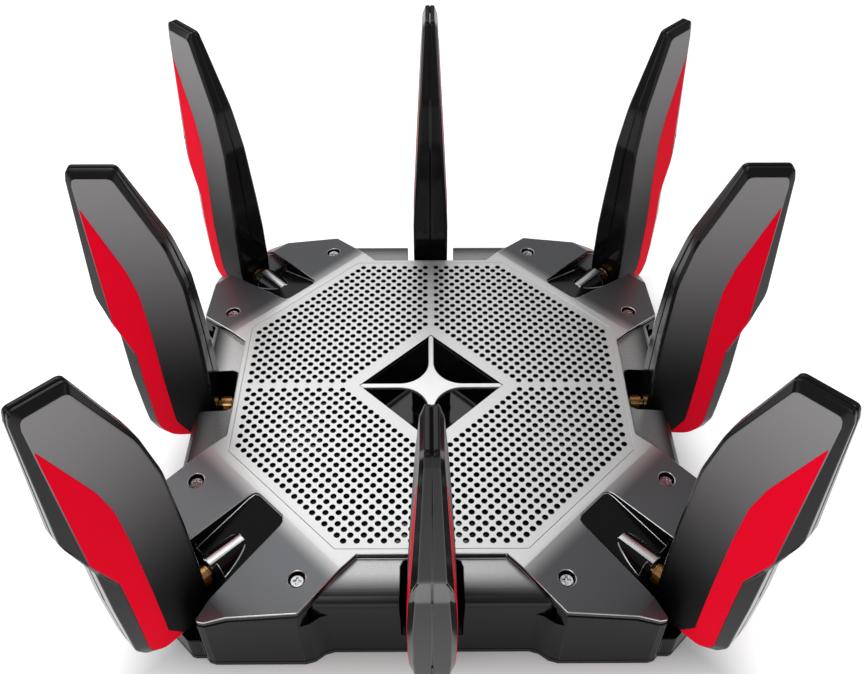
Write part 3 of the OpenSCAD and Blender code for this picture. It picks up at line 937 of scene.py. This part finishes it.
    def inlay_plate(self, sign: float) -> bmesh.types.BMesh:
        """One coloured inlay, standing a hair proud of the blade's face.

        Args:
            sign: +1 or -1 for the side of the blade.

        Returns:
            A closed mesh in the blade's own millimetres.
        """
        outline = fillet(self.inlay, self.inlay_radii, self.steps)
        bm = bmesh.new()
        top = [bm.verts.new((u, self.inlay_proud, z)) for u, z in outline]
        bottom = [bm.verts.new((u, -self.inlay_depth, z)) for u, z in outline]
        bm.faces.new(top)
        bm.faces.new(list(reversed(bottom)))
        for i in range(len(outline)):
            j = (i + 1) % len(outline)
            bm.faces.new((top[i], bottom[i], bottom[j], top[j]))
        self.cut_at_bends(bm)
        for v in bm.verts:
            v.co.y = sign * (self.half_thickness(v.co.z) + v.co.y)
        bmesh.ops.recalc_face_normals(bm, faces=bm.faces)
        return bm

    def pair(
        self, name: str, make: Callable[[float], bmesh.types.BMesh], finishes: Sequence[Finish],
    ) -> bpy.types.Object:
        """Joins the two mirrored halves of a piece and puts them in place.

        Args:
            name: The piece's name.
            make: Builds the half on one side.
            finishes: The finish of each material slot.

        Returns:
            The new piece.
        """
        both = bmesh.new()
        for sign in (1.0, -1.0):
            half = make(sign)
            scratch = bpy.data.meshes.new("half")
            half.to_mesh(scratch)
            half.free()
            both.from_mesh(scratch)
            bpy.data.meshes.remove(scratch)
        both.transform(self.placing())
        return object_from(name, both, finishes)

    def build(self) -> None:
        """Builds and places the antenna's pieces."""
        body = f"{self.name}_antenna"
        casing = self.pair(f"{body}_casing", self.half_shell, [Finish.FACE, Finish.EDGE])
        soften(casing, 0.45, 18.0, 3)
        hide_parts(f"{body}_shells")
        settle(casing, body)
        inlays = self.pair(f"{body}_inlays", self.inlay_plate, [Finish.RED])
        soften(inlays, 0.1, 40.0, 1)
        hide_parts(f"{body}_accents")
        settle(inlays, body)
        dress(f"{body}_board", Finish.BOARD)
        dress(f"{body}_plug", Finish.GOLD)


@dataclass
class Housing:
    """Walls, base, cover, grille, badge, well and feet, in metres except for the slit fills."""

    panel_reach: float = 0.0949
    panel_low: float = 0.0385
    panel_half: float = 0.055
    panel_tilt: float = 0.15
    channel_start: float = 0.0986
    channel_half: float = 0.0162
    boss_start: float = 0.1150
    boss_half: float = 0.0069
    boss_low: float = 0.0345
    # Half width and lowest height of the painted highlight strip on each boss.
    highlight_half: float = 0.0017
    highlight_low: float = 0.0405
    grille_side: float = 0.092
    grille_diagonal: float = 0.0936
    seam: float = 0.0002
    wing_fall: float = 0.16
    sink: float = 0.0006
    flat_tilt: float = 0.6
    hole_tilt: float = 0.7
    top: float = 0.0484
    bead_depth: float = 0.0006
    bead_proud: float = 0.00001
    fill_front: float = 0.17
    fill_back: float = 1.9
    fill_heights: Point2 = (2.5, 34.0)
    s_curve: tuple[Point2, ...] = (
        (114.5, 40.0), (114.5, 42.0), (115.7, 46.0), (118.8, 50.0), (120.0, 54.0), (120.0, 56.0),
    )

    def wall_slot(self, centre: Vector, normal: Vector) -> int:
        """Paint on the side panels, gloss elsewhere.

        Args:
            centre: The face's centre.
            normal: Its normal.

        Returns:
            The material slot.
        """
        out, along = max(abs(centre.x), abs(centre.y)), min(abs(centre.x), abs(centre.y))
        on_panel = out > self.panel_reach and centre.z > self.panel_low and normal.z > self.panel_tilt
        return 1 if on_panel and along < self.panel_half else 0

    def cover_slot(self, centre: Vector, normal: Vector) -> int:
        """Paint on top, black on the edges, the channel floors' own finish, and a painted highlight.

        Args:
            centre: The face's centre.
            normal: Its normal.

        Returns:
            The material slot: 0 paint, 1 black, 2 channel floor, 3 painted highlight along the bosses'
                ridges.
        """
        out = (abs(centre.x) + abs(centre.y)) / ROOT2
        off = abs(abs(centre.x) - abs(centre.y)) / ROOT2
        surface = self.top - self.wing_fall * max(0.0, out - self.channel_start)
        sunk = centre.z < surface - self.sink
        if out > self.boss_start and off < self.boss_half and sunk and centre.z > self.boss_low:
            # A narrow strip along the boss's top gets the painted highlight.
            return 3 if off < self.highlight_half and centre.z > self.highlight_low else 1
        if normal.z > self.flat_tilt:
            in_channel = out > self.channel_start and off < self.channel_half and sunk
            return 2 if in_channel else 0
        return 1

    def panel_slot(self, _centre: Vector, normal: Vector) -> int:
        """Paint on the flat sides of the grille, and black inside its holes as painted shade."""
        return 0 if abs(normal.z) > self.hole_tilt else 1

    def octagon(self, grow: float) -> list[Point2]:
        """The grille's outline, grown by a distance in metres."""
        flat, slant = self.grille_side + grow, self.grille_diagonal + grow
        c = slant * ROOT2 - flat
        return [
            (flat, -c), (flat, c), (c, flat), (-c, flat), (-flat, c), (-flat, -c), (-c, -flat), (c, -flat),
        ]

    def wall_fills(self) -> bpy.types.Object:
        """Strips behind the wall's eight S-curves. They cover its open slits up to the fills' top."""
        front = [(x - self.fill_front, y) for x, y in self.s_curve]
        plan = front + [(x - self.fill_back, y) for x, y in reversed(self.s_curve)]
        bm = bmesh.new()
        for sx, sy, swap in product((-1, 1), (-1, 1), (False, True)):
            spots = [(sy * y, sx * x) if swap else (sx * x, sy * y) for x, y in plan]
            low, high = (
                [bm.verts.new((x * MM, y * MM, z * MM)) for x, y in spots] for z in self.fill_heights
            )
            bm.faces.new(low)
            bm.faces.new(high)
            for k in range(len(plan)):
                n = (k + 1) % len(plan)
                bm.faces.new((low[k], low[n], high[n], high[k]))
        bmesh.ops.recalc_face_normals(bm, faces=bm.faces)
        return object_from("housing_fills", bm, [Finish.WALL])

    def seam_bead(self) -> bpy.types.Object:
        """A painted bead over the seam between the grille and the cover, for looks only."""
        bm = bmesh.new()
        inner, outer = -self.bead_proud, self.seam + self.bead_proud
        floor, crown = self.top - self.bead_depth, self.top + self.bead_proud
        corners = [(inner, floor), (outer, floor), (outer, crown), (inner, crown)]
        rings = [[bm.verts.new((x, y, z)) for x, y in self.octagon(g)] for g, z in corners]
        for k, ring in enumerate(rings):
            after = rings[(k + 1) % len(rings)]
            for i in range(len(ring)):
                j = (i + 1) % len(ring)
                bm.faces.new((ring[i], ring[j], after[j], after[i]))
        bmesh.ops.recalc_face_normals(bm, faces=bm.faces)
        return object_from("grille_seam_bead", bm, [Finish.TOP])

    def build(self) -> None:
        """Builds and places the body's pieces."""
        walls = skin("main_housing", "housing_skin", [Finish.WALL, Finish.PANEL], 0.4, 32.0, self.wall_slot)
        settle(walls, "root")
        finishes = [Finish.TOP, Finish.EDGE, Finish.CHANNEL, Finish.HIGHLIGHT]
        # rim=3 paints a highlight line along every bevelled edge of the cover.
        cover = skin("top_cover", "cover_skin", finishes, 0.32, 35.0, self.cover_slot, rim=3)
        settle(cover, "root")
        settle(self.seam_bead(), "root")
        settle(self.wall_fills(), "root")
        star = skin("star_badge", "star_skin", [Finish.STAR], 0.25, 30.0)
        settle(star, "root")
        well = skin("badge_well", "well_skin", [Finish.WELL], 0.3, 30.0)
        settle(well, "root")
        dress("grille_panel", Finish.TOP, Finish.SHADE, pick=self.panel_slot)
        dress("base_plate", Finish.SATIN)
        dress("rubber_feet", Finish.RUBBER)


@dataclass
class VentShadeRings:
    """Painted shade: dark rings round the grille's holes and down their walls, in millimetres. They are for
    looks only.
    """

    gap: float = 2.95
    pitch: float = 2.85
    low: int = 14
    high: int = 42
    rows: int = 30
    hole: float = 1.19
    mouth: float = 1.38
    sides: int = 24
    lift: float = 0.012
    depth: float = 0.9

    def spots(self) -> list[tuple[Vector, float]]:
        """Each hole's place, with no turn."""
        quarter = [
            (self.gap + self.pitch * i, self.gap + self.pitch * j)
            for i in range(self.rows + 1) for j in range(self.rows + 1)
            if (i + j) % 2 == 0 and self.low <= i + j <= self.high
        ]
        top = Housing.top
        return [
            (Vector((sx * x * MM, sy * y * MM, top)), 0.0)
            for sx in (-1, 1) for sy in (-1, 1) for x, y in quarter
        ]

    def ring(self) -> bpy.types.Object:
        """One ring of painted shade, round the origin."""
        bm = bmesh.new()
        turn = [math.tau * k / self.sides for k in range(self.sides)]
        loops = []
        for r, z in ((self.mouth, self.lift), (self.hole, self.lift), (self.hole, -self.depth)):
            loops.append([
                bm.verts.new((r * MM * math.cos(a), r * MM * math.sin(a), z * MM)) for a in turn
            ])
        for outer, inner in zip(loops, loops[1:]):
            for k in range(self.sides):
                n = (k + 1) % self.sides
                bm.faces.new((outer[k], outer[n], inner[n], inner[k]))
        return object_from("vent_ring", bm, [Finish.SHADE])

    def build(self, scatter: ScatterTree) -> None:
        """Builds and places the rings."""
        rims = scatter.scatter("vent_rims", self.ring(), self.spots(), Finish.SHADE)
        settle(rims, "root")


@dataclass
class Fittings:
    """Screws, connectors, nuts, sockets and buttons."""

    joints: dict[str, dict]
    nut_sides: int = 40
    nut_fold: float = 30.0
    nut_profile: tuple[Point2, ...] = (
        (-6.1, 3.25), (-6.1, 3.9), (-5.8, 4.2), (-5.3, 4.2), (-5.1, 3.95), (-1.6, 3.95), (-1.4, 4.2),
        (-0.9, 4.2), (-0.6, 3.9), (-0.6, 2.86), (-3.3, 2.86), (-3.3, 3.25),
    )
    ridges: int = 34
    ridge_radius: float = 3.95
    ridge_length: float = 3.4
    ridge_width: float = 0.42
    ridge_start: float = -3.35

    def collar_nut(self) -> bpy.types.Object:
        """One knurled nut along X, with its outer end at the blade."""
        body = bmesh.new()
        lathe([(x * MM, r * MM) for x, r in self.nut_profile], self.nut_sides, body)
        ring = object_from("nut_ring", body, [Finish.GOLD])
        values = {
            "Ridges": self.ridges, "Radius": self.ridge_radius * MM, "Length": self.ridge_length * MM,
            "Ridge Width": self.ridge_width * MM, "Start": self.ridge_start * MM,
            "Finish": Finish.GOLD.material(),
        }
        return add_object("nut", KnurlTree().run(ring, values))

    def connector_spots(self) -> list[tuple[Vector, float]]:
        """The place and turn of each connector, from the swivel joints."""
        spots = []
        for joint in self.joints.values():
            if joint["type"] == "hinge":
                spots.append((Vector(joint["pos_m"]), math.atan2(joint["axis"][1], joint["axis"][0])))
        return spots

    def build(self, scatter: ScatterTree) -> None:
        """Builds and places the fittings."""
        nuts = scatter.scatter("knurled_nuts", self.collar_nut(), self.connector_spots(), Finish.GOLD)
        nuts.data.shade_smooth()
        nuts.data.set_sharp_from_angle(angle=math.radians(self.nut_fold))
        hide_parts("collar_nuts")
        settle(nuts, "root")
        screws = skin("cover_screws", "cover_screw_skin", [Finish.STEEL], 0.12, 40.0)
        settle(screws, "root")
        for node in ("antenna_jacks", "jack_hex_nuts"):
            dress(node, Finish.GOLD)
        for node in ("base_screws", "shield_cans", "usb_a_socket", "usb_c_socket"):
            dress(node, Finish.STEEL)
        for node in ("lan_sockets", "dc_jack", "button_switches"):
            dress(node, Finish.SOCKET)
        dress("wan_socket", Finish.WAN)
        dress("heat_sink", Finish.SINK)
        dress("coax_leads", Finish.LEAD)
        for node in ("main_board", "light_board"):
            dress(node, Finish.BOARD)
        for node in ("power_button", "wps_button", "wifi_button", "led_button", "reset_button"):
            button = skin(node, f"{node}_cap", [Finish.SATIN], 0.25, 40.0)
            settle(button, node)


# ---------------------------------------------------------------- studio


@dataclass
class Studio:
    """Floor, lights, world and camera."""

    eye: Vector = field(default_factory=lambda: Vector((-0.0005, -0.3069, 0.3823)))
    target: Vector = field(default_factory=lambda: Vector((0.00107, 0.0334, 0.04835)))
    centre: Vector = field(default_factory=lambda: Vector((0, 0, 0.05)))
    lens: float = 38.66
    sensor: float = 36.0
    near_clip: float = 0.01
    sky: float = 0.3
    floor_half: float = 4.0
    # The next two set a painted contact shadow: the floor's glow is dimmed close round the body.
    floor_shadow_fade: Point2 = (0.105, 0.15)
    floor_shadow_glow: Colour = (0.06, 0.06, 0.06)
    floor_far: Colour = (0.72, 0.72, 0.72)

    def softbox(self, name: str, place: Point3, size: Point2, power: float) -> None:
        """Adds one rectangular area light.

        Args:
            name: The light's name.
            place: Its centre in metres.
            size: Its width and height in metres.
            power: Its power in watts.
        """
        lamp = bpy.data.lights.new(name, "AREA")
        lamp.shape = "RECTANGLE"
        lamp.size, lamp.size_y = size
        lamp.energy = power
        holder = bpy.data.objects.new(name, lamp)
        bpy.context.scene.collection.objects.link(holder)
        holder.location = place
        direction = self.centre - Vector(place)
        holder.rotation_euler = direction.to_track_quat("-Z", "Y").to_euler()

    def floor(self) -> None:
        """Adds the pale floor. It glows evenly, except close round the body, where the glow is cut to paint
        a dark contact shadow.
        """
        bm = bmesh.new()
        bmesh.ops.create_grid(bm, x_segments=2, y_segments=2, size=self.floor_half)
        mesh = bpy.data.meshes.new("floor")
        bm.to_mesh(mesh)
        bm.free()
        g = Graph("pale_floor")
        x, y, _ = g.axes()
        # Mask of the painted contact shadow: 0 close round the body, 1 farther out.
        clear = abs(x).larger(abs(y)).smooth(*self.floor_shadow_fade)
        g.set(Base_Color=(0.8, 0.8, 0.8), Roughness=0.9, Specular_IOR_Level=0.1)
        g.set(Emission_Color=g.mix(clear, self.floor_shadow_glow, self.floor_far), Emission_Strength=1.0)
        mesh.materials.append(g.material)
        add_object("floor", mesh)

    def camera(self) -> None:
        """Adds the camera at the viewing angle."""
        data = bpy.data.cameras.new("camera")
        data.lens = self.lens
        data.sensor_width = self.sensor
        data.clip_start = self.near_clip
        holder = bpy.data.objects.new("camera", data)
        bpy.context.scene.collection.objects.link(holder)
        holder.location = self.eye
        holder.rotation_euler = (self.target - self.eye).to_track_quat("-Z", "Y").to_euler()
        bpy.context.scene.camera = holder

    def build(self) -> None:
        """Sets up the whole studio."""
        world = bpy.data.worlds.new("studio")
        world.use_nodes = True
        light = world.node_tree.nodes["Background"]
        light.inputs["Color"].default_value = (1.0, 1.0, 1.0, 1.0)
        light.inputs["Strength"].default_value = self.sky
        bpy.context.scene.world = world
        bpy.context.scene.view_settings.view_transform = "Standard"
        self.camera()
        self.floor()
        self.softbox("key_box", (-0.20, 0.46, 0.80), (0.80, 0.64), 2.5)
        self.softbox("front_box", (-0.25, -0.7, 0.65), (0.5, 0.4), 1.6)
        self.softbox("left_strip", (-0.75, 0.1, 0.35), (0.15, 0.6), 0.6)


def main() -> None:
    """Builds the studio and the router."""
    logging.basicConfig(level=logging.INFO, format="%(name)s: %(message)s")
    Studio().build()
    joints = {joint["name"]: joint for joint in frame["joints"]}
    Housing().build()
    scatter = ScatterTree()
    VentShadeRings().build(scatter)
    Fittings(joints).build(scatter)
    for name, joint in joints.items():
        if joint["type"] == "hinge":
            label = name.removesuffix("_swivel")
            Antenna(label, Vector(joint["pos_m"]), Vector(joint["axis"])).build()


if __name__ == "__main__":
    main()
